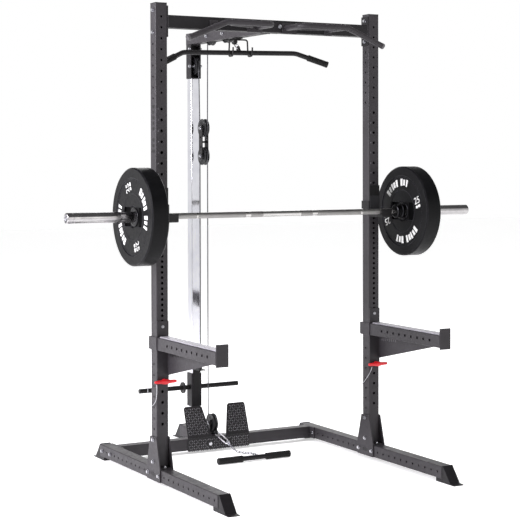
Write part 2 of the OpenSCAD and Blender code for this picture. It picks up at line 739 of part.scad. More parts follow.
// Loading sleeve turning on the shaft's end, with its inner flange.
module sleeve(s) placed("#dcdde0")
  translate([0, bar_y, bar_z]) rotate([0, s * 90, 0]) difference() {
    rotate_extrude()
      polygon([[0, collar_in], [30, collar_in], [33, collar_in + 3], [33, collar_out - 12],
               [38, collar_out - 10], [38, collar_out], [sleeve_d / 2 - 0.3, collar_out],
               [sleeve_d / 2 - 0.3, plate_in + plate_t + 1],
               [sleeve_d / 2, plate_in + plate_t + 1], [sleeve_d / 2, bar_len / 2 - 2],
               [sleeve_d / 2 - 2, bar_len / 2], [0, bar_len / 2]]);
    cylinder(r = 12.1, h = bar_len / 2 - 7);
  }
module left_sleeve() sleeve(-1);
module right_sleeve() sleeve(1);

// Bumper plate: raised rim, recessed ring, hub disc with a wide slot, steel centre.
module bumper(s) placed("#232226") {
  r = plate_d / 2;
  t = plate_t;
  translate([s * plate_in, bar_y, bar_z]) rotate([0, s * 90, 0]) difference() {
    rotate_extrude($fn = 96)
      polygon([[sleeve_d / 2 + 0.3, 12], [50, 12], [52, 6], [103, 6], [105, 5], [176, 5], [180, 1],
               [r - 6, 0], [r, 6], [r, t - 6], [r - 6, t], [180, t - 1], [176, t - 5], [105, t - 5],
               [103, t - 6], [52, t - 6], [50, t - 12], [sleeve_d / 2 + 0.3, t - 12]]);
    for (z = [0, t]) intersection() {
      translate([0, 0, z]) cube([90, 300, 30], center = true);
      translate([0, 0, z]) cylinder(r = 101, h = 30, center = true);
    }
  }
}
module left_plate() bumper(-1);
module right_plate() bumper(1);

// ---------- one node at a time ----------

left_foot_beam();
right_foot_beam();
rear_foot_beam();
foot_shoes();
left_upright();
right_upright();
left_base_bracket();
right_base_bracket();
rear_crossmember();
base_bolts();
foot_plate();
crossbeam();
boom();
top_bolts();
tower_head();
guide_tube();
left_pullup_handle();
right_pullup_handle();
tube_caps();
lat_bar_rest();
pulley_axles();
low_pulley_bracket();
upper_cable();
cable_stop();
lower_cable();
front_top_wheel();
rear_top_wheel();
tower_head_wheel();
block_plates();
block_upper_wheel();
block_lower_wheel();
low_wheel();
carriage();
weight_pegs();
carriage_liners();
lift_plate();
carriage_cable();
lat_bar();
lat_bar_grips();
lat_bar_hook();
row_bar();
row_bar_grips();
row_chain();
left_jcup();
right_jcup();
jcup_liners();
left_spotter_arm();
right_spotter_arm();
spotter_pads();
left_pull_pin();
right_pull_pin();
left_lanyard();
right_lanyard();
bar_shaft();
left_sleeve();
right_sleeve();
left_plate();
right_plate();
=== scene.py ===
import math
import bpy
import bmesh
from mathutils import Vector, Matrix


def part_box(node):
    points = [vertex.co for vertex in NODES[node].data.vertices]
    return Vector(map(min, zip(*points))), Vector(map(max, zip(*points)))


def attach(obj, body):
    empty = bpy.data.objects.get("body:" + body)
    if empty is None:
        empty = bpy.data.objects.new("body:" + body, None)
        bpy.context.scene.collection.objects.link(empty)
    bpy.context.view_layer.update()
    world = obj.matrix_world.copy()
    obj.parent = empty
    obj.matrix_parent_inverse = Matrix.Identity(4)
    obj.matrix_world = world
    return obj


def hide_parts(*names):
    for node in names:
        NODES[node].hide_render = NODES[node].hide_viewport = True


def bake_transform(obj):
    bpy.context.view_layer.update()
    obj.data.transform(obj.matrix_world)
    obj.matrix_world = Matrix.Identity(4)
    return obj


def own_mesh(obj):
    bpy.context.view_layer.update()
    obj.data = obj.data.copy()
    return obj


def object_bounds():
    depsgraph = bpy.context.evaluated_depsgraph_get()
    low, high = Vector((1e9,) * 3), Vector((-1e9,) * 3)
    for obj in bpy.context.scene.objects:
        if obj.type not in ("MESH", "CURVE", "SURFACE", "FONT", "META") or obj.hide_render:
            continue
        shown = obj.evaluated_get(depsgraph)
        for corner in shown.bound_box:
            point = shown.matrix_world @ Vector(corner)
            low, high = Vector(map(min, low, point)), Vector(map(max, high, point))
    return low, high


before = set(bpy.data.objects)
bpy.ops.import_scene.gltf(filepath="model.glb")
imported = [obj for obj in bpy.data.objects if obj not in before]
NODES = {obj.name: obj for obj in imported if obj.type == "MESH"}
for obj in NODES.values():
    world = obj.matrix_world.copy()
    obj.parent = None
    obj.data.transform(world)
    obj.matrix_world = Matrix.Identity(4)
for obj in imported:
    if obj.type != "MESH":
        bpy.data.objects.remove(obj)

CAD_BOX = [list(c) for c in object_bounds()]
RACK_Y = sum(c.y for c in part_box("left_upright")) / 2      # plane of the two uprights
COL_X = sum(c.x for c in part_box("right_upright")) / 2      # middle of the right upright


def place(x, y, z):
    """A point in millimetres from the uprights' plane and the floor, as a point in the row frame."""
    return Vector((x / 1000, y / 1000 + RACK_Y, z / 1000))


# ---------- camera ----------

def make_camera():
    yaw, pitch, roll = math.radians(29.11), math.radians(-0.85), math.radians(0.13)
    ahead = Vector((math.sin(yaw) * math.cos(pitch), math.cos(yaw) * math.cos(pitch), math.sin(pitch)))
    data = bpy.data.cameras.new("studio_camera")
    data.sensor_width, data.lens, data.shift_y = 36.0, 100.64, -0.15
    data.clip_start, data.clip_end = 0.1, 60.0
    cam = bpy.data.objects.new("studio_camera", data)
    bpy.context.scene.collection.objects.link(cam)
    cam.location = place(-3492.3, -6180.1, 1515.6)
    cam.rotation_mode = "QUATERNION"
    cam.rotation_quaternion = ahead.to_track_quat("-Z", "Y") @ Matrix.Rotation(-roll, 3, "Z").to_quaternion()
    bpy.context.scene.camera = cam


make_camera()

# ---------- mesh helpers ----------


def new_piece(name, verts, faces, mat=None, smooth=None):
    """A mesh object from points and faces, normals outward. smooth is the largest angle shaded smooth."""
    mesh = bpy.data.meshes.new(name)
    mesh.from_pydata([tuple(v) for v in verts], [], faces)
    b = bmesh.new()
    b.from_mesh(mesh)
    bmesh.ops.recalc_face_normals(b, faces=b.faces)
    b.to_mesh(mesh)
    b.free()
    o = bpy.data.objects.new(name, mesh)
    bpy.context.scene.collection.objects.link(o)
    if mat:
        mesh.materials.append(mat)
    if smooth is not None:
        mesh.shade_smooth()
        mesh.set_sharp_from_angle(angle=math.radians(smooth))
    return o


class Shape:
    """Collects points and faces of several closed bodies for one piece."""

    def __init__(self):
        self.v, self.f = [], []

    def add(self, verts, faces, move=None):
        n = len(self.v)
        self.v += [move @ Vector(p) for p in verts] if move else [Vector(p) for p in verts]
        self.f += [tuple(i + n for i in face) for face in faces]

    def piece(self, name, mat, smooth=35):
        return new_piece(name, self.v, self.f, mat, smooth)


def frame_at(origin, ahead, up=(0, 0, 1)):
    """Matrix whose local Z runs ahead and whose local Y is as near to up as it can be."""
    z = Vector(ahead).normalized()
    y = Vector(up) - z * z.dot(Vector(up))
    if y.length < 1e-6:
        y = Vector((0, 1, 0)) - z * z.y
    y.normalize()
    x = y.cross(z)
    m = Matrix((x, y, z)).transposed().to_4x4()
    m.translation = Vector(origin)
    return m


def lathe(profile, segments=64):
    """Points and faces of a turned body: profile is (along, radius), closed on the axis at both ends."""
    verts, faces, rings = [], [], []
    for along, radius in profile:
        if radius < 1e-6:
            rings.append([len(verts)])
            verts.append((0, 0, along))
        else:
            rings.append(list(range(len(verts), len(verts) + segments)))
            verts += [(radius * math.cos(math.tau * k / segments), radius * math.sin(math.tau * k / segments),
                       along)
                      for k in range(segments)]
    for a, b in zip(rings, rings[1:]):
        for k in range(segments):
            j = (k + 1) % segments
            if len(a) == 1 and len(b) > 1:
                faces.append((a[0], b[j], b[k]))
            elif len(b) == 1 and len(a) > 1:
                faces.append((a[k], a[j], b[0]))
            elif len(a) > 1:
                faces.append((a[k], a[j], b[j], b[k]))
    return verts, faces


def hollow_lathe(profile, segments=64):
    """Points and faces of a turned ring whose closed profile stays off the axis."""
    n = len(profile)
    verts = [(r * math.cos(math.tau * k / segments), r * math.sin(math.tau * k / segments), a)
             for k in range(segments) for a, r in profile]
    faces = [(k * n + i, ((k + 1) % segments) * n + i, ((k + 1) % segments) * n + (i + 1) % n,
              k * n + (i + 1) % n)
             for k in range(segments) for i in range(n)]
    return verts, faces


def swept(points, radius, segments=16, closed=False, flat=1.0, wobble=None):
    """Points and faces of a tube along points. wobble gives each ring's own radius factor."""
    pts = [Vector(p) for p in points]
    n = len(pts)
    verts, faces = [], []
    side = None
    for i, p in enumerate(pts):
        before = pts[(i - 1) % n] if closed or i else pts[0]
        after = pts[(i + 1) % n] if closed or i < n - 1 else pts[-1]
        t = (after - before).normalized()
        if side is None:
            side = t.orthogonal() if abs(t.x) > 0.9 else Vector((1, 0, 0))
        side = (side - t * side.dot(t)).normalized()
        other = t.cross(side)
        r = radius * (wobble(i) if wobble else 1.0)
        for k in range(segments):
            a = math.tau * k / segments
            verts.append(p + side * (r * math.cos(a)) + other * (r * flat * math.sin(a)))
    spans = n if closed else n - 1
    for i in range(spans):
        for k in range(segments):
            j, q = (i + 1) % n, (k + 1) % segments
            faces.append((i * segments + k, i * segments + q, j * segments + q, j * segments + k))
    if not closed:
        faces.append(tuple(range(segments - 1, -1, -1)))
        faces.append(tuple((n - 1) * segments + k for k in range(segments)))
    return verts, faces


def slab(outline, thickness, edge=0.001):
    """Points and faces of a flat plate from a simple outline, with a small chamfer on both faces."""
    n = len(outline)
    middle = Vector((sum(p[0] for p in outline) / n, sum(p[1] for p in outline) / n))
    inner = []
    for p in outline:
        d = Vector(p) - middle
        inner.append(Vector(p) - d.normalized() * min(edge, d.length * 0.5))
    h = thickness / 2
    layers = [(inner, -h), (outline, -h + edge), (outline, h - edge), (inner, h)]
    verts = [(p[0], p[1], z) for ring, z in layers for p in ring]
    faces = [tuple(range(n - 1, -1, -1)), tuple(3 * n + k for k in range(n))]
    for i in range(3):
        for k in range(n):
            j = (k + 1) % n
            faces.append((i * n + k, i * n + j, (i + 1) * n + j, (i + 1) * n + k))
    return verts, faces


def rounded_rectangle(w, h, r, steps=5):
    out = []
    for sx, sy, start in ((1, 1, 0), (-1, 1, 90), (-1, -1, 180), (1, -1, 270)):
        for k in range(steps + 1):
            a = math.radians(start + 90 * k / steps)
            out.append((sx * (w / 2 - r) + r * math.cos(a), sy * (h / 2 - r) + r * math.sin(a)))
    return out


def smooth_route(points, steps):
    """Catmull-Rom curve through the points, as the CAD source lays its cords."""
    p = [Vector(q) for q in points]
    m, out = len(p), []
    for i in range(m - 1):
        a, b, c, d = p[max(i - 1, 0)], p[i], p[i + 1], p[min(i + 2, m - 1)]
        for j in range(steps):
            t = j / steps
            out.append(0.5 * (2 * b + (c - a) * t + (2 * a - 5 * b + 4 * c - d) * t * t
                              + (3 * b - 3 * c + d - a) * t * t * t))
    return out + [p[-1]]


# ---------- materials ----------


class Nodes:
    def __init__(self, name):
        self.mat = bpy.data.materials.new(name)
        self.mat.use_nodes = True
        self.tree = self.mat.node_tree
        self.tree.nodes.clear()
        self.out = self.tree.nodes.new("ShaderNodeOutputMaterial")
        self.bsdf = self.tree.nodes.new("ShaderNodeBsdfPrincipled")
        self.link(self.bsdf.outputs[0], self.out.inputs[0])
        self.coords = self.tree.nodes.new("ShaderNodeTexCoord").outputs["Object"]

    def link(self, a, b):
        self.tree.links.new(a, b)

    def math(self, op, a, b=None, clamp=False):
        n = self.tree.nodes.new("ShaderNodeMath")
        n.operation, n.use_clamp = op, clamp
        for socket, value in zip(n.inputs, (a, b)):
            if isinstance(value, (int, float)):
                socket.default_value = value
            elif value is not None:
                self.link(value, socket)
        return n.outputs[0]

    def noise(self, scale, detail=4.0, rough=0.55, vector=None, stretch=None):
        n = self.tree.nodes.new("ShaderNodeTexNoise")
        n.inputs["Scale"].default_value = scale
        n.inputs["Detail"].default_value = detail
        n.inputs["Roughness"].default_value = rough
        source = vector or self.coords
        if stretch:
            m = self.tree.nodes.new("ShaderNodeMapping")
            m.inputs["Scale"].default_value = stretch
            self.link(source, m.inputs["Vector"])
            source = m.outputs[0]
        self.link(source, n.inputs["Vector"])
        return n.outputs["Fac"]

    def ramp(self, value, low, high, a=0.0, b=1.0):
        n = self.tree.nodes.new("ShaderNodeMapRange")
        n.inputs["From Min"].default_value = low
        n.inputs["From Max"].default_value = high
        n.inputs["To Min"].default_value = a
        n.inputs["To Max"].default_value = b
        self.link(value, n.inputs["Value"])
        return n.outputs["Result"]

    def mix(self, factor, a, b):
        n = self.tree.nodes.new("ShaderNodeMix")
        n.data_type = "RGBA"
        if isinstance(factor, (int, float)):
            n.inputs["Factor"].default_value = factor
        else:
            self.link(factor, n.inputs["Factor"])
        for index, value in ((6, a), (7, b)):
            if isinstance(value, tuple):
                n.inputs[index].default_value = (*value, 1.0)
            else:
                self.link(value, n.inputs[index])
        return n.outputs[2]

    def bump(self, height, strength, distance=0.001, normal=None):
        n = self.tree.nodes.new("ShaderNodeBump")
        n.inputs["Strength"].default_value = strength
        n.inputs["Distance"].default_value = distance
        self.link(height, n.inputs["Height"])
        if normal:
            self.link(normal, n.inputs["Normal"])
        return n.outputs[0]

    def rounded(self, radius):
        n = self.tree.nodes.new("ShaderNodeBevel")
        n.samples = 4
        n.inputs["Radius"].default_value = radius
        return n.outputs[0]

    def edges(self, soft, low=0.90, high=0.995):
        """1 along sharp edges and 0 on flat faces."""
        geometry = self.tree.nodes.new("ShaderNodeNewGeometry")
        d = self.tree.nodes.new("ShaderNodeVectorMath")
        d.operation = "DOT_PRODUCT"
        self.link(geometry.outputs["Normal"], d.inputs[0])
        self.link(soft, d.inputs[1])
        return self.ramp(d.outputs["Value"], low, high, 1.0, 0.0)

    def split(self):
        n = self.tree.nodes.new("ShaderNodeSeparateXYZ")
        self.link(self.coords, n.inputs[0])
        return n.outputs

    def set(self, **values):
        for key, value in values.items():
            socket = self.bsdf.inputs[key.replace("_", " ")]
            if isinstance(value, tuple):
                socket.default_value = (*value, 1.0)
            elif isinstance(value, (int, float)):
                socket.default_value = value
            else:
                self.link(value, socket)
        return self.mat


def coated(name, dark, light, wear_and_edge_highlight, rough=(0.36, 0.52), grain=420.0, depth=0.3, spec=0.28, edge=0.0012,
           tone=5.0):
    """Powder-coated steel: fine orange-peel grain, patchy tone and paler edges, which are wear on the powder
    coats and a painted highlight on the bumper rubber.
    """
    n = Nodes(name)
    soft = n.rounded(edge)
    patches = n.noise(tone, 5.0)
    fine = n.noise(grain, 3.0, 0.6)
    colour = n.mix(n.ramp(patches, 0.35, 0.65), dark, light)
    edge_wear_and_highlight = n.math("MULTIPLY", n.edges(soft), n.ramp(n.noise(38.0, 4.0), 0.35, 0.65, 0.15, 0.6))
    colour = n.mix(edge_wear_and_highlight, colour, wear_and_edge_highlight)
    return n.set(Base_Color=colour, Roughness=n.ramp(n.noise(60.0, 5.0), 0.3, 0.7, *rough),
                 Normal=n.bump(fine, depth, 0.0006, soft), Specular_IOR_Level=spec, Metallic=0.0)


def metal(name, colour, tint, rough, stretch=(1.0, 1.0, 1.0), lines=220.0, depth=0.12, edge=0.0006,
          rim=None):
    """Bare or plated metal with faint drawn lines and cloudy gloss. rim darkens it along its edges, a painted
    shade outline.
    """
    n = Nodes(name)
    clouds = n.noise(14.0, 5.0)
    drawn = n.noise(lines, 4.0, 0.6, stretch=stretch)
    soft = n.rounded(edge)
    base = n.mix(n.ramp(clouds, 0.3, 0.7), colour, tint)
    if rim:
        base = n.mix(n.edges(soft), base, rim)
    return n.set(Base_Color=base, Metallic=1.0,
                 Roughness=n.ramp(n.math("ADD", clouds, drawn), 0.7, 1.3, *rough),
                 Normal=n.bump(drawn, depth, 0.0004, soft))


def moulded(name, dark, light, rough, grain=500.0, depth=0.3, patches=9.0, spec=0.5):
    """Moulded rubber or plastic with a fine leathery grain."""
    n = Nodes(name)
    fine = n.noise(grain, 4.0, 0.65)
    tone = n.noise(patches, 6.0, 0.6)
    return n.set(Base_Color=n.mix(n.ramp(tone, 0.35, 0.68), dark, light), Metallic=0.0,
                 Roughness=n.ramp(n.math("ADD", tone, fine), 0.75, 1.25, *rough),
                 Normal=n.bump(fine, depth, 0.0006, n.rounded(0.0008)), Specular_IOR_Level=spec)


def knurled_bar():
    """Plated shaft: diamond knurling, with smooth rings at the marks and in the middle of the grips."""
    n = Nodes("knurled_shaft")
    x, y, z = n.split()
    centre = place(0, -117, 1259)
    turn = n.math("ARCTAN2", n.math("SUBTRACT", z, centre.z), n.math("SUBTRACT", y, centre.y))
    pitch, round_count = math.tau / 0.0016, 55.0
    along = n.math("MULTIPLY", x, pitch)
    around = n.math("MULTIPLY", turn, round_count)
    ridges = n.math("MULTIPLY", n.math("SINE", n.math("ADD", along, around)),
                    n.math("SINE", n.math("SUBTRACT", along, around)))
    away = n.math("ABSOLUTE", x)
    grip = n.math("MULTIPLY", n.math("GREATER_THAN", away, 0.105), n.math("LESS_THAN", away, 0.64))
    for middle, half in ((0.185, 0.014), (0.455, 0.004)):
        off = n.math("ABSOLUTE", n.math("SUBTRACT", away, middle))
        grip = n.math("MULTIPLY", grip, n.math("GREATER_THAN", off, half))
    height = n.math("MULTIPLY", ridges, grip)
    clouds = n.noise(9.0, 5.0)
    bright = n.mix(n.ramp(clouds, 0.3, 0.7), (0.46, 0.45, 0.44), (0.56, 0.55, 0.54))
    # The knurled colour darkens in the knurl's valleys and lightens on its peaks: painted shade in the
    # grooves
    dull = n.mix(n.ramp(ridges, -1.0, 1.0), (0.20, 0.195, 0.19), (0.46, 0.45, 0.44))
    return n.set(Base_Color=n.mix(grip, bright, dull), Metallic=1.0,
                 Roughness=n.math("ADD", n.math("MULTIPLY", grip, 0.16),
                                  n.ramp(clouds, 0.3, 0.7, 0.18, 0.26)),
                 Normal=n.bump(height, 0.6, 0.0004))


def stranded(name, colour, tint, rough, pitch, metallic):
    """Twisted strands seen through a thin clear or dark sleeve, on runs that are mostly upright."""
    n = Nodes(name)
    x, y, z = n.split()
    lay = n.math("SINE", n.math("MULTIPLY", n.math("ADD", n.math("ADD", x, y), z), math.tau / pitch))
    clouds = n.noise(25.0, 4.0)
    return n.set(Base_Color=n.mix(n.ramp(lay, -1.0, 1.0), colour, tint), Metallic=metallic,
                 Roughness=n.ramp(clouds, 0.3, 0.7, *rough), Normal=n.bump(lay, 0.25, 0.0003))


MAT = {
    "charcoal": coated("charcoal_powder_coat", (0.020, 0.0178, 0.0202), (0.0265, 0.0238, 0.0275),
                       (0.085, 0.08, 0.09)),
    "shade": coated("dark_powder_coat", (0.0075, 0.0068, 0.0078), (0.012, 0.011, 0.0125),
                    (0.05, 0.048, 0.052), spec=0.2),
    "black": coated("black_powder_coat", (0.0052, 0.0048, 0.0052), (0.0085, 0.0078, 0.0085),
                    (0.035, 0.034, 0.036),
                    spec=0.24),
    "tread": coated("tread_plate_coat", (0.0095, 0.009, 0.010), (0.0155, 0.0145, 0.016), (0.06, 0.058, 0.062),
                    rough=(0.3, 0.44), spec=0.25),
    # lozenge: the tread's ridges painted much paler than the plate in patchy flecks, a painted highlight on
    # the ridge tops
    "lozenge": coated("tread_ridge_painted_highlight", (0.022, 0.021, 0.024), (0.155, 0.150, 0.162), (0.30, 0.29, 0.31),
                      rough=(0.25, 0.38), spec=0.4, tone=75.0),
    "zinc": metal("bright_zinc", (0.60, 0.60, 0.62), (0.42, 0.42, 0.46), (0.16, 0.34), depth=0.2),
    # The chrome's rim colour darkens its edges as painted shade, so the tube stands out against the white
    "chrome": metal("polished_chrome", (0.74, 0.74, 0.78), (0.64, 0.64, 0.69), (0.03, 0.10),
                    stretch=(1.0, 1.0, 0.05), depth=0.03, edge=0.004, rim=(0.13, 0.12, 0.13)),
    "sleeve": metal("plated_sleeve", (0.47, 0.46, 0.46), (0.34, 0.33, 0.34), (0.12, 0.24),
                    stretch=(0.08, 1.0, 1.0), depth=0.08),
    "steel": metal("dull_steel", (0.34, 0.34, 0.36), (0.24, 0.24, 0.26), (0.28, 0.44), depth=0.2),
    "shaft": knurled_bar(),
    # The paler edge colour of the bumper rubber is a painted highlight along the plates' rims
    "rubber": coated("bumper_rubber", (0.0020, 0.0020, 0.0024), (0.0042, 0.0041, 0.0048),
                     (0.05, 0.048, 0.062),
                     rough=(0.34, 0.5), grain=520.0, spec=0.12, edge=0.0022),
    # recess: near-black patches laid on the hub slot's floor, a painted shadow inside the slot
    "recess": moulded("recess_painted_shadow", (0.0006, 0.0006, 0.0007), (0.0012, 0.0012, 0.0014), (0.6, 0.8),
                      spec=0.03),
    # flange: sleeve flanges and plate bushes coloured near black, painted shade and a painted dark reflection
    # of the plates
    "flange": metal("flange_painted_shade", (0.035, 0.034, 0.037), (0.018, 0.018, 0.020), (0.22, 0.36), depth=0.1),
    "link": metal("chain_zinc", (0.40, 0.40, 0.43), (0.22, 0.22, 0.25), (0.18, 0.34), depth=0.2),
    "grip": moulded("grip_rubber", (0.0045, 0.0045, 0.0045), (0.0085, 0.008, 0.008), (0.5, 0.7), grain=700.0,
                    spec=0.2),
    "plastic": moulded("black_plastic", (0.0048, 0.0048, 0.0055), (0.0090, 0.0090, 0.0100), (0.3, 0.46),
                       grain=900.0,
                       spec=0.3),
    "liner": moulded("liner_plastic", (0.012, 0.012, 0.014), (0.019, 0.019, 0.021), (0.42, 0.6), grain=800.0,
                     spec=0.3),
    "strip": moulded("pale_strip_plastic", (0.20, 0.19, 0.215), (0.27, 0.26, 0.285), (0.36, 0.5),
                     grain=700.0),
    "glide": moulded("white_glide_plastic", (0.60, 0.59, 0.55), (0.68, 0.67, 0.63), (0.4, 0.5), grain=700.0),
    "red": moulded("red_plastic", (0.46, 0.004, 0.010), (0.56, 0.010, 0.016), (0.26, 0.38), grain=700.0,
                   depth=0.12),
    "paint": moulded("white_raised_marks", (0.50, 0.50, 0.49), (0.66, 0.66, 0.65), (0.45, 0.6), grain=900.0),
    "cap": moulded("grey_end_cap", (0.055, 0.052, 0.056), (0.085, 0.082, 0.088), (0.3, 0.45), grain=900.0),
    "cable": stranded("sleeved_cable", (0.022, 0.022, 0.026), (0.055, 0.055, 0.06), (0.22, 0.34), 0.006, 0.3),
    "wire": stranded("bright_wire", (0.60, 0.60, 0.62), (0.40, 0.40, 0.43), (0.25, 0.4), 0.003, 1.0),
}

CARRIED = {
    "charcoal": ["left_foot_beam", "right_foot_beam", "rear_foot_beam", "left_upright", "right_upright",
                 "left_base_bracket", "right_base_bracket", "rear_crossmember", "boom",
                 "left_pullup_handle", "right_pullup_handle", "left_spotter_arm", "right_spotter_arm"],
    "shade": ["tower_head", "crossbeam", "carriage", "low_pulley_bracket", "foot_shoes"],
    "black": ["lat_bar", "row_bar", "left_jcup", "right_jcup", "weight_pegs", "lat_bar_rest", "lift_plate",
              "block_plates"],
    "tread": ["foot_plate"],
    "zinc": ["base_bolts", "top_bolts", "pulley_axles", "lat_bar_hook"],
    "chrome": ["guide_tube"],
    "shaft": ["bar_shaft"],
    "rubber": ["left_plate", "right_plate"],
    "plastic": ["tube_caps", "cable_stop", "front_top_wheel", "rear_top_wheel", "tower_head_wheel",
                "block_upper_wheel", "block_lower_wheel", "low_wheel"],
    "glide": ["carriage_liners"],
    "liner": ["jcup_liners"],
    "cable": ["upper_cable"],
}

for key, names in CARRIED.items():
    for name in names:
        node = NODES[name]
        node.data.materials.clear()
        node.data.materials.append(MAT[key])
        node.data.shade_smooth()
        node.data.set_sharp_from_angle(angle=math.radians(30))


def ride(piece, body):
    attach(piece, body)
    return piece


# ---------- lanyards ----------

LANYARDS = {
    "left_lanyard": [[-640, -68, 476], [-638, -66, 455], [-634, -56, 430], [-630, -40, 402],
                     [-629, -18, 380], [-629, 8, 366], [-629, 32, 366], [-628, 50, 382],
                     [-627, 58, 410], [-626, 60, 450], [-625, 60, 500], [-622, 59, 550],
                     [-617, 56, 600], [-612, 50, 636]],
    "right_lanyard": [[553, -70, 474], [555, -60, 460], [557, -40, 436], [557, -16, 412],
                      [557, 8, 390], [557, 30, 376], [558, 48, 380], [559, 58, 404],
                      [560, 61, 440], [561, 62, 485], [563, 61, 530], [566, 58, 575],
                      [570, 54, 612], [574, 50, 640]],
}
for name, points in LANYARDS.items():
    route = smooth_route([place(*p) for p in points], 4)
    s = Shape()
    s.add(*swept(route, 0.0015, 12))
    wire = s.piece(name + "_wire", MAT["wire"])
    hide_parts(name)
    ride(wire, "frame")
    length = sum((b - a).length for a, b in zip(route, route[1:]))

# ---------- cables ----------

GROOVE = 44


def arc(y, z, a, b, steps):
    return [place(0, y + GROOVE * math.cos(math.radians(a + (b - a) * k / steps)),
                  z + GROOVE * math.sin(math.radians(a + (b - a) * k / steps))) for k in range(steps + 1)]


s = Shape()
s.add(*swept([place(0, 619, 92.01)] + arc(617, 136, -88, 0, 12) + arc(705, 1540, 180, 0, 24), 0.003, 16))
piece = s.piece("low_cable_run", MAT["cable"])
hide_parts("lower_cable")
ride(piece, "frame")

s = Shape()
s.add(*swept([place(0, 619 - 43 * k / 24, 92) for k in range(25)], 0.003, 16))
piece = s.piece("low_cable_payout", MAT["cable"])
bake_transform(piece)

low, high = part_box("carriage_cable")
s = Shape()
y = sum(c.y for c in (low, high)) / 2
s.add(*swept([(0, y, low.z + (high.z - low.z) * k / 12) for k in range(13)], 0.003, 16))
piece = s.piece("carriage_cable_run", MAT["cable"])
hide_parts("carriage_cable")
ride(piece, "frame")
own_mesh(piece)

# Ferrule and nut where the cable is held by the carriage's strap
s = Shape()
end = Vector((0, y, low.z))
s.add(*lathe([(0, 0), (0, 0.0058), (0.004, 0.0062), (0.026, 0.0052), (0.030, 0.0036), (0.030, 0)], 32),
      frame_at(end - Vector((0, 0, 0.001)), (0, 0, 1)))
ride(s.piece("cable_ferrule", MAT["zinc"]), "carriage")

# ---------- barbell ----------

PLATE_IN, SLEEVE_END = 0.700, CAD_BOX[1][0]
BAR = place(0, -117, 1259)


def loading_sleeve(side, name, body):
    """Turned sleeve with its stepped inner flange, grooves and a recessed end held by a ring."""
    e = SLEEVE_END
    flange = [(0.660, 0.0), (0.660, 0.0290), (0.6612, 0.0312), (0.664, 0.0330), (0.672, 0.0330),
              (0.674, 0.0322),
              (0.676, 0.0330), (0.686, 0.0330), (0.688, 0.0345), (0.689, 0.0372), (0.691, 0.0380),
              (0.697, 0.0380),
              (0.699, 0.0370), (0.699, 0.0)]
    ring = [(0.6985, 0.0), (0.6985, 0.0247), (0.760, 0.0247), (0.786, 0.02498), (e - 0.034, 0.02498),
            (e - 0.033, 0.0243),
            (e - 0.030, 0.0243), (e - 0.029, 0.02498), (e - 0.002, 0.02495), (e - 0.0004, 0.0236),
            (e, 0.0228),
            (e, 0.0196), (e - 0.0015, 0.0190), (e - 0.004, 0.0188), (e - 0.004, 0.0)]
    # The flange is coloured dark metal as painted shade and a painted dark reflection of the plates
    s = Shape()
    s.add(*lathe(flange, 72), frame_at((0, BAR.y, BAR.z), (side, 0, 0)))
    ride(s.piece(name + "_flange", MAT["flange"], 28), body)
    s = Shape()
    s.add(*lathe(ring, 72), frame_at((0, BAR.y, BAR.z), (side, 0, 0)))
    o = s.piece(name + "_turned", MAT["sleeve"], 28)
    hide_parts(name)
    ride(o, body)
    s = Shape()
    s.add(*hollow_lathe([(e - 0.0036, 0.0125), (e - 0.0036, 0.0186), (e - 0.0022, 0.0186),
                         (e - 0.0016, 0.0178),
                         (e - 0.0016, 0.0136), (e - 0.0022, 0.0125)], 56),
                         frame_at((0, BAR.y, BAR.z), (side, 0, 0)))
    s.add(*lathe([(e - 0.0038, 0.0), (e - 0.0038, 0.0090), (e - 0.0016, 0.0086), (e - 0.0010, 0.0078),
                  (e - 0.0010, 0.0)], 6), frame_at((0, BAR.y, BAR.z), (side, 0, 0)))
    ride(s.piece(name + "_end_ring", MAT["steel"], 28), body)


loading_sleeve(-1, "left_sleeve", "left_sleeve")
loading_sleeve(1, "right_sleeve", "right_sleeve")


def numeral_mesh(text, size, depth):
    """Points and faces of a number, centred, in its own X-Y plane."""
    curve = bpy.data.curves.new("number", "FONT")
    curve.body, curve.size, curve.extrude = text, size, depth / 2
    curve.align_x, curve.align_y = "CENTER", "CENTER"
    curve.resolution_u = 3
    o = bpy.data.objects.new("number", curve)
    bpy.context.scene.collection.objects.link(o)
    bpy.context.view_layer.update()
    mesh = bpy.data.meshes.new_from_object(o.evaluated_get(bpy.context.evaluated_depsgraph_get()))
    verts = [v.co.copy() for v in mesh.vertices]
    faces = [tuple(p.vertices) for p in mesh.polygons]
    bpy.data.objects.remove(o)
    bpy.data.curves.remove(curve)
    bpy.data.meshes.remove(mesh)
    return verts, faces


def arc_bar(r0, r1, a0, a1, depth, steps=4):
    """Points and faces of a short raised bar bent round a circle."""
    verts, faces = [], []
    for k in range(steps + 1):
        a = math.radians(a0 + (a1 - a0) * k / steps)
        c, d = math.cos(a), math.sin(a)
        for r, z in ((r0, 0), (r1, 0), (r1 - 0.0008, depth), (r0 + 0.0008, depth)):
            verts.append((r * c, r * d, z))
    for k in range(steps):
        for i in range(4):
            j = (i + 1) % 4
            faces.append((k * 4 + i, (k + 1) * 4 + i, (k + 1) * 4 + j, k * 4 + j))
    faces += [(0, 1, 2, 3), tuple(steps * 4 + i for i in (3, 2, 1, 0))]
    return verts, faces


NUMBER_25 = numeral_mesh("25", 0.048, 0.0016)


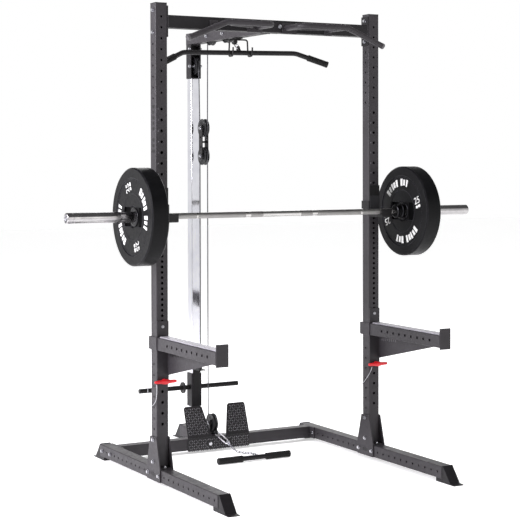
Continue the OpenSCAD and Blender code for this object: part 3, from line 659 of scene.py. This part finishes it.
def plate_marks(side, name, turn):
    """Raised white numbers and generic bars on both faces of a bumper plate, and its raised ring."""
    s, rings = Shape(), Shape()
    for face in (-1, 1):
        x = side * (PLATE_IN + (0.080 if face > 0 else 0.005))
        out = side * face
        m = frame_at((x, BAR.y, BAR.z), (out, 0, 0)) @ Matrix.Rotation(math.radians(turn), 4, "Z")
        for k in (0, 1):
            spin = Matrix.Rotation(math.pi * k, 4, "Z")
            s.add(*NUMBER_25, m @ spin @ Matrix.Translation((0.141, 0.010, 0.0006)))
            for u, w in ((-0.011, 0.015), (0.010, 0.018)):
                s.add(*slab(rounded_rectangle(w, 0.013, 0.003, 3), 0.0016, 0.0004),
                      m @ spin @ Matrix.Translation((0.141 + u, -0.020, 0.0006)))
            for i in range(9):
                if i != 3:
                    start = 52 + i * 8.6
                    lean = 0.003 if i % 2 else 0.0
                    s.add(*arc_bar(0.127 + lean, 0.163 - lean, start, start + 4.6 + (i % 3), 0.0014),
                          m @ spin)
        for r in (0.1085, 0.1715):
            rings.add(*hollow_lathe([(0, r - 0.0012), (0.0008, r - 0.0006), (0.0008, r + 0.0006),
                                     (0, r + 0.0012),
                                     (-0.001, r)], 120), m)
    ride(s.piece(name + "_marks", MAT["paint"], 25), name)
    ride(rings.piece(name + "_rings", MAT["rubber"], 60), name)
    # Steel bush round the sleeve hole, coloured dark as painted shade at the sleeve's root
    hub = Shape()
    for face in (-1, 1):
        x = side * (PLATE_IN + (plate_t - 0.012 if face > 0 else 0.012))
        m = frame_at((x, BAR.y, BAR.z), (side * face, 0, 0))
        hub.add(*hollow_lathe([(0.0, 0.0254), (0.0, 0.0440), (0.0022, 0.0430), (0.0030, 0.0415),
                               (0.0030, 0.0275),
                               (0.0018, 0.0254)], 64), m)
    ride(hub.piece(name + "_bush", MAT["flange"], 30), name)
    # Near-black patches on the floor of the hub slot on each face: a painted shadow inside the slot
    floor = Shape()
    for face in (-1, 1):
        x = side * (PLATE_IN + (plate_t - 0.0145 if face > 0 else 0.0145))
        m = frame_at((x, BAR.y, BAR.z), (side * face, 0, 0))
        for way in (-1, 1):
            rim = [(way * 0.1000 * math.cos(math.radians(a)), 0.1000 * math.sin(math.radians(a)))
                   for a in range(-26, 27, 4)]
            floor.add(*slab([(way * 0.046, -0.0438)] + rim + [(way * 0.046, 0.0438)], 0.0008, 0.0002), m)
    ride(floor.piece(name + "_recess", MAT["recess"], 25), name)


plate_t = (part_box("right_plate")[1].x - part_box("right_plate")[0].x)
plate_marks(-1, "left_plate", 108)
plate_marks(1, "right_plate", 19)

# ---------- grips, bars and caps ----------


def ribbed_grip(start, end, inner, outer, ribs):
    """Moulded rubber grip with shallow ribs, a flared shoulder and a rounded closed end."""
    start, end = Vector(start), Vector(end)
    length = (end - start).length
    profile = [(0.0, 0.0), (0.0, outer * 0.62), (0.0008, outer * 0.86), (0.0025, outer * 0.97),
               (0.005, outer)]
    first, last = 0.012, length - 0.012
    for k in range(ribs):
        a = first + (last - first) * k / ribs
        w = (last - first) / ribs
        profile += [(a + w * 0.10, outer * 0.985), (a + w * 0.22, outer * 0.93), (a + w * 0.62, outer * 0.93),
                    (a + w * 0.74, outer * 0.985)]
    profile += [(length - 0.008, outer), (length - 0.002, outer), (length, outer - 0.0012), (length, inner),
                (length, 0)]
    verts, faces = lathe(profile, 40)
    return verts, faces, frame_at(start, end - start)


LAT_POSE = (Matrix.Translation(place(0, 292, 2059)) @ Matrix.Rotation(math.radians(-1.35), 4, "Y")
            @ Matrix.Rotation(math.radians(-46), 4, "X"))
LAT_HALF, LAT_DROP = 0.322, Vector((0.153, 0, -0.088))
s = Shape()
for side in (-1, 1):
    outward = Vector((side * LAT_DROP.x, 0, LAT_DROP.z)).normalized()
    tip = Vector((side * (LAT_HALF + LAT_DROP.x), 0, LAT_DROP.z)) + outward * 0.0032
    s.add(*ribbed_grip(LAT_POSE @ tip, LAT_POSE @ (tip - outward * 0.112), 0.0126, 0.0165, 18))
piece = s.piece("lat_bar_rubber_grips", MAT["grip"], 50)
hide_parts("lat_bar_grips")
ride(piece, "lat_handle")

s = Shape()
for side in (-1, 1):
    s.add(*ribbed_grip(place(39 + side * 207, 227, 17), place(39 + side * 67, 227, 17), 0.0126, 0.0170, 24))
piece = s.piece("row_bar_rubber_grips", MAT["grip"], 50)
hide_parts("row_bar_grips")
ride(piece, "row_handle")

# Plugs in the ends of the pull-up handles
s = Shape()
for side in (-1, 1):
    end, inner = place(side * 539, -195, 2167 - 7 - 84), place(side * 330, -195, 2160)
    along = (end - inner).normalized()
    s.add(*lathe([(-0.012, 0), (-0.012, 0.0146), (-0.003, 0.0148), (-0.0005, 0.0142), (0.0, 0.0128),
                  (0.0002, 0.0)], 32),
          frame_at(end, along))
ride(s.piece("pullup_handle_plugs", MAT["cap"], 30), "frame")

# ---------- tread pattern ----------


def lozenge(length, width, height):
    """A raised almond, pointed at both ends."""
    verts, faces = [], []
    steps = 7
    for k in range(steps):
        t = k / (steps - 1)
        x = (t - 0.5) * length
        w = width * math.sin(math.pi * min(max(t, 0.04), 0.96)) / 2
        h = height * (0.35 + 0.65 * math.sin(math.pi * min(max(t, 0.04), 0.96)))
        verts += [(x, -w, -0.0003), (x, -w * 0.35, h), (x, w * 0.35, h), (x, w, -0.0003)]
    for k in range(steps - 1):
        for i in range(4):
            j = (i + 1) % 4
            faces.append((k * 4 + i, (k + 1) * 4 + i, (k + 1) * 4 + j, k * 4 + j))
    faces += [(0, 1, 2, 3), tuple((steps - 1) * 4 + i for i in (3, 2, 1, 0))]
    return verts, faces


def inside(p, outline, margin):
    """Whether a point is inside a convex outline by at least margin."""
    n = len(outline)
    side = 0
    for k in range(n):
        a, b = Vector(outline[k]), Vector(outline[(k + 1) % n])
        e = b - a
        d = (e.x * (p[1] - a.y) - e.y * (p[0] - a.x)) / e.length
        side = side or (1 if d > 0 else -1)
        if d * side < margin:
            return False
    return True


front_y = 571 - 30 - 0.3
REST = [(41, 2), (180, 2), (179, 158), (171, 166), (84, 166), (75, 158)]
PITCH = 0.0130


def tread(s, m, columns, rows, start, allowed):
    """Almonds in a basket pattern over a plate's face, turned this way and that."""
    across = -1 if m.col[0].x < 0 else 1
    for i in range(-columns, columns + 1):
        for j in range(rows):
            u, v = i * PITCH, start + j * PITCH
            chance = math.sin(i * 12.9898 + j * 78.233) * 43758.5453
            chance -= math.floor(chance)
            if not allowed(u, v):
                continue
            tilt = (45 if (i + j) % 2 else -45) + 14 * (chance - 0.5)
            s.add(*ALMOND, m @ Matrix.Translation((across * u, v, 0)) @ Matrix.Rotation(math.radians(tilt), 4,
                                                                                        "Z"))


ALMOND = lozenge(0.0138, 0.0044, 0.0012)
s = Shape()
lean = math.radians(19)
for side in (-1, 1):
    outline = [(side * x / 1000, y / 1000) for x, y in REST]
    if side < 0:
        outline.reverse()
    face_normal = Vector((0, -math.cos(lean), math.sin(lean)))
    m = frame_at(place(0, front_y, 77.3) + face_normal * 0.004, face_normal,
                 (0, math.sin(lean), math.cos(lean)))
    tread(s, m, 15, 13, 0.008, lambda u, v: inside((u, v), outline, 0.0075))
BOLTS_AT = (-0.0508, 0.0508)


def on_band(u, v):
    """Inside the plate's lower band and clear of its two bolts."""
    return min(math.hypot(u - b, v - 0.043) for b in BOLTS_AT) > 0.019 and abs(u) < 0.172 and v < 0.070


tread(s, frame_at(place(0, front_y - 4, 0), (0, -1, 0), (0, 0, 1)), 14, 5, 0.013, on_band)
ride(s.piece("tread_ridges", MAT["lozenge"], 25), "frame")

# ---------- pull pins ----------


def pull_pin(side, name, body):
    """Moulded T handle with a bulged middle over a steel shank and its collar."""
    x, z = side * COL_X * 1000, 486.2
    s = Shape()
    profile = [(-0.057, 0.0), (-0.0567, 0.003), (-0.055, 0.0056), (-0.051, 0.0070), (-0.040, 0.0076),
               (-0.024, 0.0084),
               (-0.014, 0.0104), (-0.006, 0.0118), (0.0, 0.0120), (0.006, 0.0118), (0.014, 0.0104),
               (0.024, 0.0084),
               (0.040, 0.0076), (0.051, 0.0070), (0.055, 0.0056), (0.0567, 0.003), (0.057, 0.0)]
    verts, faces = lathe(profile, 32)
    s.add([(p[0] * 0.80, p[1], p[2]) for p in verts], faces, frame_at(place(x, -65, z), (1, 0, 0)))
    s.add(*lathe([(-0.016, 0), (-0.016, 0.0112), (-0.012, 0.0120), (-0.001, 0.0108), (0.004, 0.0090),
                  (0.004, 0)], 36),
          frame_at(place(x, -59, z), (0, -1, 0)))
    handle = s.piece(name + "_handle", MAT["red"], 50)
    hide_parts(name)
    ride(handle, body)
    s = Shape()
    s.add(*lathe([(0.0, 0), (0.0, 0.0050), (0.002, 0.0065), (0.030, 0.0065), (0.0312, 0.0095),
                  (0.036, 0.0098),
                  (0.037, 0.0090), (0.037, 0)], 36), frame_at(place(x, -12, z), (0, -1, 0)))
    ride(s.piece(name + "_shank", MAT["zinc"], 30), body)


pull_pin(-1, "left_pull_pin", "left_pin")
pull_pin(1, "right_pull_pin", "right_pin")

# ---------- spotter arm strips ----------

lo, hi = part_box("spotter_pads")
s, screws = Shape(), Shape()
length = hi.y - lo.y
for side in (-1, 1):
    outline = rounded_rectangle(0.048, length - 0.0004, 0.006)
    m = Matrix.Translation((side * COL_X, (lo.y + hi.y) / 2, (lo.z + hi.z) / 2))
    s.add(*slab(outline, hi.z - lo.z, 0.0012), m)
    for k in range(4):
        y = lo.y + length * (0.06 + 0.88 * k / 3)
        screws.add(*lathe([(0, 0), (0, 0.0046), (0.0001, 0.0046), (0.00012, 0.0030), (0.00006, 0.0012),
                           (0.00006, 0)], 20),
                   Matrix.Translation((side * COL_X, y, hi.z - 0.00015)))
piece = s.piece("spotter_arm_strips", MAT["strip"], 30)
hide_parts("spotter_pads")
ride(piece, "frame")
ride(screws.piece("strip_screws", MAT["zinc"], 30), "frame")

# ---------- chain and hooks ----------


def wire_link(s, a, b, half, wire, roll, gate=False):
    """A long round-ended link of wire from a to b, its ends' insides at those points."""
    a, b = Vector(a), Vector(b)
    d = b - a
    m = frame_at((a + b) / 2, d, (0, 0, 1)) @ Matrix.Rotation(math.radians(roll), 4, "Z")
    straight = max(d.length / 2 - (half - wire), 0.0)
    pts = []
    for k in range(9):
        t = math.pi * k / 8
        pts.append((half * math.cos(t), 0, straight + half * math.sin(t)))
    for k in range(9):
        t = math.pi + math.pi * k / 8
        pts.append((half * math.cos(t), 0, -straight + half * math.sin(t)))
    verts, faces = swept(pts, wire, 10, closed=True)
    s.add(verts, faces, m)
    if gate:
        s.add(*lathe([(-0.006, 0), (-0.006, wire * 1.35), (0.006, wire * 1.35), (0.006, 0)], 16),
              m @ Matrix.Translation((half, 0, straight * 0.3)))


CHAIN = [[0, 561, 89], [0, 526, 83], [8, 489, 67], [24, 452, 40], [44, 428, 13], [72, 402, 7], [98, 368, 7],
         [104, 324, 7], [87, 289, 9], [56, 265, 16]]
route = [place(*p) for p in CHAIN]
s = Shape()
hook_end = (route[2] + route[3]) / 2
wire_link(s, route[0] + Vector((0, 0.002, 0)), hook_end, 0.0100, 0.0031, 45, gate=True)
ride(s.piece("row_snap_hook", MAT["wire"], 50), "row_handle")
s = Shape()
fine = smooth_route([hook_end] + route[3:], 24)
spaced, left = [fine[0]], 0.0
pitch = 0.0165
for a, b in zip(fine, fine[1:]):
    step = (b - a).length
    while left + step >= pitch:
        part = (pitch - left) / step
        a = a + (b - a) * part
        spaced.append(a)
        step = (b - a).length
        left = 0.0
    left += step
for i, (a, b) in enumerate(zip(spaced, spaced[1:])):
    d = (b - a).normalized() * 0.0008
    wire_link(s, a - d, b + d, 0.0050, 0.0019, 90 * (i % 2) + 40)
eye, last = place(39, 255, 17), Vector((17, 10, 0)).normalized()
wire_link(s, eye + last * 0.020, eye + last * 0.0066, 0.0044, 0.0017, 0)
chain = s.piece("row_chain_links", MAT["link"], 50)
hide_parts("row_chain")
ride(chain, "row_handle")
s = Shape()
ball = [(-0.0120 * math.cos(math.pi * k / 16), max(0.0120 * math.sin(math.pi * k / 16),
                                                   0.0)) for k in range(17)]
ball[0], ball[-1] = (-0.0120, 0.0), (0.0120, 0.0)
s.add(*lathe(ball, 32), frame_at(place(0, 571, 92), (0, -1, 0)))
ride(s.piece("row_cable_ball", MAT["plastic"], 60), "row_handle")

# ---------- welds, marks and numbers ----------

WELDS = Shape()


def weld(a, b, r=0.0022):
    """A lumpy bead along a joint line."""
    a, b = Vector(a), Vector(b)
    n = max(int((b - a).length / 0.0022), 3)
    pts = [a + (b - a) * (k / n) for k in range(n + 1)]
    WELDS.add(*swept(pts, r, 8, wobble=lambda i: 0.86 + 0.16 * math.sin(i * 1.7)))


top = 2167
inner = COL_X * 1000 - 30 - 0.3 - 5
for side in (-1, 1):
    weld(place(side * inner, -26, top - 30), place(side * inner, 26, top - 30))
    for y in (-30, 30):
        weld(place(side * inner, y, top - 26), place(side * inner, y, top + 26))
    x = side * COL_X * 1000
    for dx in (-30, 30):
        weld(place(x + dx, -35.5, 636), place(x + dx, -35.5, 686))
        weld(place(x + dx, -629.5, 634), place(x + dx, -629.5, 688))
    weld(place(x + 26, -35.5, 520), place(x + 26, -35.5, 624), 0.0018)
    weld(place(x + 26, -60, 630.5), place(x + 26, -520, 630.5), 0.0014)
    weld(place(side * (COL_X * 1000 - 35.3), 571 - 30, 20), place(side * (COL_X * 1000 - 35.3), 571 - 30, 74))
for x in (-30, 30):
    weld(place(x, 35.8, top - 26), place(x, 35.8, top + 26))
    weld(place(x, 606.3, 20), place(x, 606.3, 74))
weld(place(-26, 35.8, top - 30), place(26, 35.8, top - 30))
ride(WELDS.piece("weld_beads", MAT["charcoal"], 60), "frame")

# Pale numbers beside every other hole, standing where glints on the holes' inner edges show: partly print and
# partly a painted highlight
MARKS = Shape()
top_hole, pitch = 2188.0, 25.4
for side in (-1, 1):
    count = 1
    for n in range(17, 37, 2):
        z = top_hole - n * pitch
        verts, faces = numeral_mesh(str(count), 0.011, 0.0003)
        m = frame_at(place(side * COL_X * 1000 - 18, -30.05, z), (0, -1, 0), (0, 0, 1))
        MARKS.add(verts, faces, m)
        count += 1
ride(MARKS.piece("hole_numbers_painted_glints", MAT["strip"], 25), "frame")

# Pin heads on the fronts of the spotter arms' brackets
s = Shape()
for side in (-1, 1):
    s.add(*lathe([(-0.001, 0), (-0.001, 0.0075), (0.0016, 0.0075), (0.0026, 0.0060), (0.0026, 0)], 32),
          frame_at(place(side * COL_X * 1000, -34.9, 740.2), (0, -1, 0)))
ride(s.piece("bracket_pin_heads", MAT["steel"], 40), "frame")

# Raised generic bars where the arm webs and the left upright's side carry markings
BARS, DARK = Shape(), Shape()
for side in (-1, 1):
    x = side * COL_X * 1000
    for k in range(8):
        y = -64 - k * 17
        tall = 15 if k % 3 else 11
        outline = [(-0.0036, -tall / 2000), (0.0036, -tall / 2000), (0.0055, tall / 2000),
                   (-0.0017, tall / 2000)]
        m = frame_at(place(x + 25.9, y, 606 + 0.05 * abs(y)), (-1, 0, 0), (0, 0, 1))
        (BARS if side > 0 else DARK).add(*slab(outline, 0.0010, 0.0003), m)
for k in range(9):
    z = 1560 + k * 26
    outline = [(-0.012, -0.0075), (0.012, -0.0075), (0.012, 0.0075), (-0.012, 0.0075)]
    if k != 3:
        m = frame_at(place(-COL_X * 1000 - 30.1, -2, z), (-1, 0, 0), (0, 0, 1))
        DARK.add(*slab([(px * (0.8 if k % 2 else 1.0), py) for px, py in outline], 0.0008, 0.0003), m)
for side in (-1, 1):
    for dy in (-16, 0, 16):
        outline = rounded_rectangle(0.009, 0.017 if dy else 0.022, 0.002, 3)
        m = frame_at(place(side * COL_X * 1000 - 35.4, dy, 47), (-1, 0, 0), (0, 0, 1))
        DARK.add(*slab(outline, 0.0008, 0.0003), m)
ride(BARS.piece("arm_marks_pale", MAT["cap"], 25), "frame")
ride(DARK.piece("arm_marks_dark", MAT["black"], 25), "frame")

# ---------- wheel hubs ----------


def hub_caps(name, body):
    lo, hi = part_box(name)
    y, z = (lo.y + hi.y) / 2, (lo.z + hi.z) / 2
    s = Shape()
    for side in (-1, 1):
        s.add(*hollow_lathe([(0.0107, 0.0063), (0.0107, 0.0140), (0.0113, 0.0136), (0.0113, 0.0066)], 40),
              frame_at((0, y, z), (side, 0, 0)))
    ride(s.piece(name + "_bearing", MAT["steel"], 30), body)
    s = Shape()
    for side in (-1, 1):
        for k in range(5):
            a = math.tau * k / 5
            m = frame_at((side * 0.0078, y + 0.027 * math.cos(a), z + 0.027 * math.sin(a)), (side, 0, 0))
            s.add(*hollow_lathe([(0.0, 0.0052), (0.0014, 0.0060), (0.0014, 0.0070), (0.0, 0.0078)], 24), m)
    ride(s.piece(name + "_web_rings", MAT["plastic"], 50), body)


for name in ("front_top_wheel", "rear_top_wheel", "tower_head_wheel", "block_upper_wheel",
             "block_lower_wheel",
             "low_wheel"):
    hub_caps(name, name)

# ---------- studio ----------


def stage_floor():
    n = Nodes("studio_floor")
    soft = n.noise(0.6, 3.0)
    x, y, _ = n.split()
    away = n.math("SQRT", n.math("ADD", n.math("MULTIPLY", x, x), n.math("MULTIPLY", y, y)))
    mat = n.set(Base_Color=n.mix(n.ramp(soft, 0.3, 0.7), (0.86, 0.86, 0.86), (0.89, 0.89, 0.89)),
                Roughness=n.ramp(soft, 0.3, 0.7, 0.6, 0.7), Specular_IOR_Level=0.1,
                Emission_Color=n.mix(n.ramp(soft, 0.3, 0.7), (1.0, 1.0, 1.0), (0.98, 0.98, 0.98)),
                Emission_Strength=n.ramp(away, 1.6, 4.2, 0.42, 0.74))
    size, steps = 24.0, 24
    verts = [(-size + 2 * size * i / steps, -size + 2 * size * j / steps, -0.0012)
             for i in range(steps + 1) for j in range(steps + 1)]
    faces = [(i * (steps + 1) + j, (i + 1) * (steps + 1) + j, (i + 1) * (steps + 1) + j + 1,
              i * (steps + 1) + j + 1)
             for i in range(steps) for j in range(steps)]
    floor = new_piece("studio_floor", verts, faces, mat)


def area_light(name, at, target, size, power, colour=(1, 1, 1), size_y=None, mirrored=True):
    data = bpy.data.lights.new(name, "AREA")
    data.energy, data.color = power, colour
    data.shape = "RECTANGLE"
    data.size, data.size_y = size, size_y or size
    o = bpy.data.objects.new(name, data)
    bpy.context.scene.collection.objects.link(o)
    o.visible_glossy = mirrored
    o.location = at
    o.rotation_euler = (Vector(target) - Vector(at)).to_track_quat("-Z", "Y").to_euler()


stage_floor()


def studio_world():
    """White all round and under, and darker overhead, so that polished bars carry a dark band."""
    world = bpy.data.worlds.new("studio_world")
    world.use_nodes = True
    tree = world.node_tree
    up = tree.nodes.new("ShaderNodeSeparateXYZ")
    tree.links.new(tree.nodes.new("ShaderNodeTexCoord").outputs["Generated"], up.inputs[0])
    fall = tree.nodes.new("ShaderNodeMapRange")
    fall.interpolation_type = "SMOOTHSTEP"
    for name, value in (("From Min", 0.16), ("From Max", 0.55), ("To Min", 1.0), ("To Max", 0.14)):
        fall.inputs[name].default_value = value
    tree.links.new(up.outputs["Z"], fall.inputs["Value"])
    tree.links.new(fall.outputs["Result"], tree.nodes["Background"].inputs[0])
    bpy.context.scene.world = world


studio_world()
area_light("key_left", (-6.2, 0.2, 3.0), (0, 0, 1.1), 3.0, 820, (0.96, 0.94, 1.0), 3.4)
area_light("top_soft", (0.3, -0.4, 5.4), (0, 0, 0.6), 3.6, 230, mirrored=False)
area_light("front_fill", (0.8, -7.0, 2.6), (0, 0, 1.0), 3.0, 30, (1.0, 0.96, 0.93))
area_light("right_fill", (2.4, -3.4, 1.9), (0.6, 0, 1.1), 1.8, 34, (1.0, 0.96, 0.98), mirrored=False)
area_light("rear_rim", (3.0, 5.5, 3.4), (0, 0, 1.2), 2.6, 60)
view = bpy.context.scene.view_settings
view.view_transform, view.look, view.exposure, view.gamma = "Standard", "None", 0.0, 1.0
